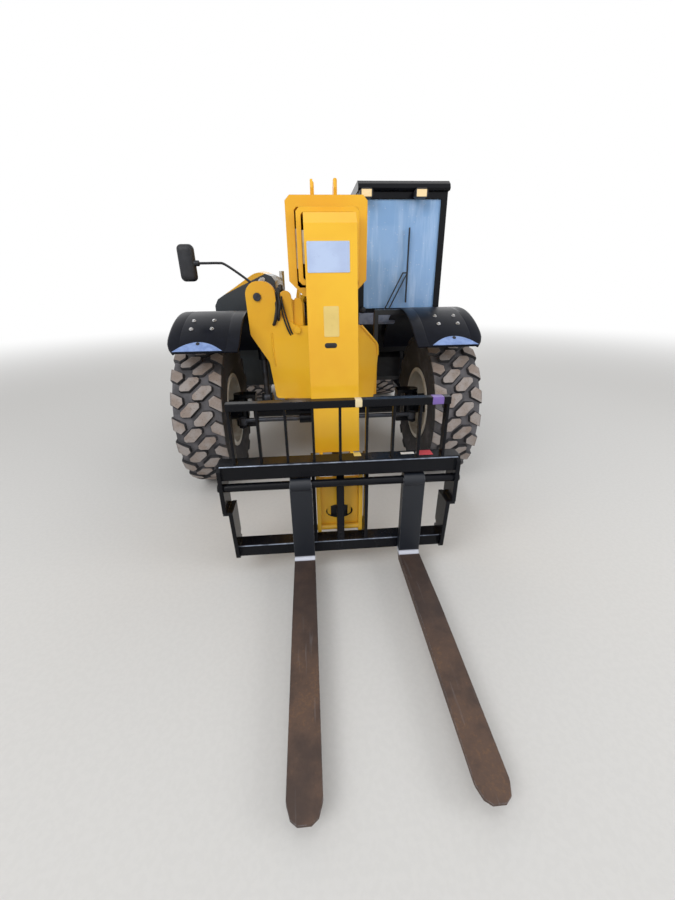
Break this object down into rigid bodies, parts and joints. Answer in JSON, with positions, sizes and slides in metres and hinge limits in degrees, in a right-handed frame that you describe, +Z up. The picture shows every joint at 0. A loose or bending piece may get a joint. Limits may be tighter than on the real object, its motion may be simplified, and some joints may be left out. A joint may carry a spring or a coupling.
{
  "type": "telehandler",
  "caption": "Telescopic handler with a three-section boom, pallet forks and load guard, side cab, four steered wheels and a side engine bay.",
  "frame": {"origin": "on the ground, under the middle of the bounding box", "axes": "+Z up, the forks point along -Y, +X is the machine's left, the cab side"},
  "size_m": [2.44, 6.505, 2.52],
  "materials": {
    "yellow_paint": "gloss",
    "black_paint": "gloss",
    "grey_paint": "satin",
    "grey_casting": "matte",
    "chrome_rod": "polished",
    "black_plastic": "matte",
    "grey_plastic": "matte",
    "lamp_lens": "gloss",
    "red_lens": "gloss",
    "window_glass": "gloss",
    "seat_cloth": "matte",
    "exhaust_steel": "satin",
    "pad_plastic": "matte",
    "worn_steel": "satin",
    "fork_steel": "satin",
    "rim_paint": "satin",
    "tyre_rubber": "matte"
  },
  "bodies": {
    "chassis": {"chassis_frame": "yellow_paint", "frame_pins": "worn_steel", "frame_brackets": "yellow_paint", "counterweight": "black_paint", "drivetrain": "grey_casting", "front_axle": "black_paint", "rear_axle": "black_paint", "levelling_barrel": "yellow_paint", "levelling_rod": "chrome_rod", "mudguards": "black_plastic", "work_lamps": "black_plastic", "work_lamp_lenses": "lamp_lens", "tail_lamps": "red_lens", "mirror": "black_plastic", "cab_frame": "black_paint", "cab_glass": "window_glass", "cab_roof": "black_paint", "seat_base": "black_paint", "seat_cushions": "seat_cloth", "steering_wheel": "black_plastic", "dashboard": "grey_plastic", "wiper": "black_plastic", "engine_pod": "grey_paint", "engine_block": "grey_casting", "radiator_grille": "black_plastic", "exhaust": "exhaust_steel", "fuel_tank": "black_plastic", "cab_steps": "black_paint"},
    "boom_outer": {"boom_outer": "yellow_paint", "outer_pads": "pad_plastic"},
    "boom_mid": {"boom_mid": "yellow_paint", "mid_pads": "pad_plastic"},
    "boom_inner": {"boom_inner": "yellow_paint", "inner_pads": "pad_plastic"},
    "lift_barrels": {"lift_barrels": "black_paint"},
    "lift_rods": {"lift_rods": "chrome_rod"},
    "tilt_barrel": {"tilt_barrel": "black_paint"},
    "tilt_rod": {"tilt_rod": "chrome_rod"},
    "carriage": {"quick_hitch": "yellow_paint", "fork_frame": "black_paint", "fork_shaft": "worn_steel", "forks": "fork_steel"},
    "front_steering_rod": {"front_steering_rod": "chrome_rod"},
    "rear_steering_rod": {"rear_steering_rod": "chrome_rod"},
    "door": {"door_frame": "black_paint", "door_glass": "window_glass"},
    "engine_cover": {"engine_cover": "yellow_paint"},
    "knuckle_front_left": {"knuckle_front_left": "black_paint"},
    "wheel_front_left": {"rim_front_left": "rim_paint", "tyre_front_left": "tyre_rubber"},
    "knuckle_front_right": {"knuckle_front_right": "black_paint"},
    "wheel_front_right": {"rim_front_right": "rim_paint", "tyre_front_right": "tyre_rubber"},
    "knuckle_rear_left": {"knuckle_rear_left": "black_paint"},
    "wheel_rear_left": {"rim_rear_left": "rim_paint", "tyre_rear_left": "tyre_rubber"},
    "knuckle_rear_right": {"knuckle_rear_right": "black_paint"},
    "wheel_rear_right": {"rim_rear_right": "rim_paint", "tyre_rear_right": "tyre_rubber"}
  },
  "joints": [
    {"name": "boom_lift", "type": "hinge", "parent": "chassis", "child": "boom_outer", "pos_m": [0, 2.9225, 1.98], "axis": [-1, 0, 0], "range_deg": [0, 68]},
    {"name": "boom_extend", "type": "slide", "parent": "boom_outer", "child": "boom_mid", "axis": [0, -1, 0], "range_m": [0, 3]},
    {"name": "boom_extend_inner", "type": "slide", "parent": "boom_mid", "child": "boom_inner", "axis": [0, -1, 0], "range_m": [0, 3]},
    {"name": "carriage_tilt", "type": "hinge", "parent": "boom_inner", "child": "carriage", "pos_m": [0, -1.7375, 0.62], "axis": [1, 0, 0], "range_deg": [-18, 98]},
    {"name": "lift_barrel_swing", "type": "hinge", "parent": "chassis", "child": "lift_barrels", "pos_m": [0, 2.4025, 0.9], "axis": [-1, 0, 0], "range_deg": [0, 51.17]},
    {"name": "lift_rod_slide", "type": "slide", "parent": "lift_barrels", "child": "lift_rods", "axis": [0, -0.8917, 0.4527], "range_m": [0, 1.2461]},
    {"name": "tilt_barrel_swing", "type": "hinge", "parent": "boom_inner", "child": "tilt_barrel", "pos_m": [0, -1.4325, 1.33], "axis": [1, 0, 0], "range_deg": [-1.81, 9.81]},
    {"name": "tilt_rod_slide", "type": "slide", "parent": "tilt_barrel", "child": "tilt_rod", "axis": [0, -0.2547, -0.967], "range_m": [-0.31653, 0.05822]},
    {"name": "steer_front_left", "type": "hinge", "parent": "chassis", "child": "knuckle_front_left", "pos_m": [0.8, -0.4975, 0.64], "axis": [0, 0, 1], "range_deg": [-35, 35]},
    {"name": "steer_front_right", "type": "hinge", "parent": "chassis", "child": "knuckle_front_right", "pos_m": [-0.8, -0.4975, 0.64], "axis": [0, 0, 1], "range_deg": [-35, 35]},
    {"name": "front_steering_slide", "type": "slide", "parent": "chassis", "child": "front_steering_rod", "axis": [1, 0, 0], "range_m": [-0.11482, 0.11482]},
    {"name": "steer_rear_left", "type": "hinge", "parent": "chassis", "child": "knuckle_rear_left", "pos_m": [0.8, 2.2525, 0.64], "axis": [0, 0, 1], "range_deg": [-35, 35]},
    {"name": "steer_rear_right", "type": "hinge", "parent": "chassis", "child": "knuckle_rear_right", "pos_m": [-0.8, 2.2525, 0.64], "axis": [0, 0, 1], "range_deg": [-35, 35]},
    {"name": "rear_steering_slide", "type": "slide", "parent": "chassis", "child": "rear_steering_rod", "axis": [1, 0, 0], "range_m": [-0.11482, 0.11482]},
    {"name": "roll_front_left", "type": "hinge", "parent": "knuckle_front_left", "child": "wheel_front_left", "pos_m": [1.025, -0.4975, 0.64], "axis": [1, 0, 0], "continuous": true},
    {"name": "roll_front_right", "type": "hinge", "parent": "knuckle_front_right", "child": "wheel_front_right", "pos_m": [-1.025, -0.4975, 0.64], "axis": [1, 0, 0], "continuous": true},
    {"name": "roll_rear_left", "type": "hinge", "parent": "knuckle_rear_left", "child": "wheel_rear_left", "pos_m": [1.025, 2.2525, 0.64], "axis": [1, 0, 0], "continuous": true},
    {"name": "roll_rear_right", "type": "hinge", "parent": "knuckle_rear_right", "child": "wheel_rear_right", "pos_m": [-1.025, 2.2525, 0.64], "axis": [1, 0, 0], "continuous": true},
    {"name": "door_swing", "type": "hinge", "parent": "chassis", "child": "door", "pos_m": [1.17, 1.3185, 1.7425], "axis": [0, 0, 1], "range_deg": [0, 95]},
    {"name": "engine_cover_lift", "type": "hinge", "parent": "chassis", "child": "engine_cover", "pos_m": [-0.446, 0.91, 1.64], "axis": [0, 1, 0], "range_deg": [0, 55]}
  ],
  "couplings": [
    {"joint": "boom_extend_inner", "follows": "boom_extend", "ratio": 1},
    {"joint": "lift_barrel_swing", "follows": "boom_lift", "ratio": 0.7523},
    {"joint": "lift_rod_slide", "follows": "boom_lift", "m_per_rad": 1.0499},
    {"joint": "tilt_barrel_swing", "follows": "carriage_tilt", "ratio": 0.1},
    {"joint": "tilt_rod_slide", "follows": "carriage_tilt", "m_per_rad": -0.185},
    {"joint": "steer_front_right", "follows": "steer_front_left", "ratio": 1},
    {"joint": "front_steering_slide", "follows": "steer_front_left", "m_per_rad": 0.1878},
    {"joint": "steer_rear_right", "follows": "steer_rear_left", "ratio": 1},
    {"joint": "rear_steering_slide", "follows": "steer_rear_left", "m_per_rad": -0.1878}
  ]
}
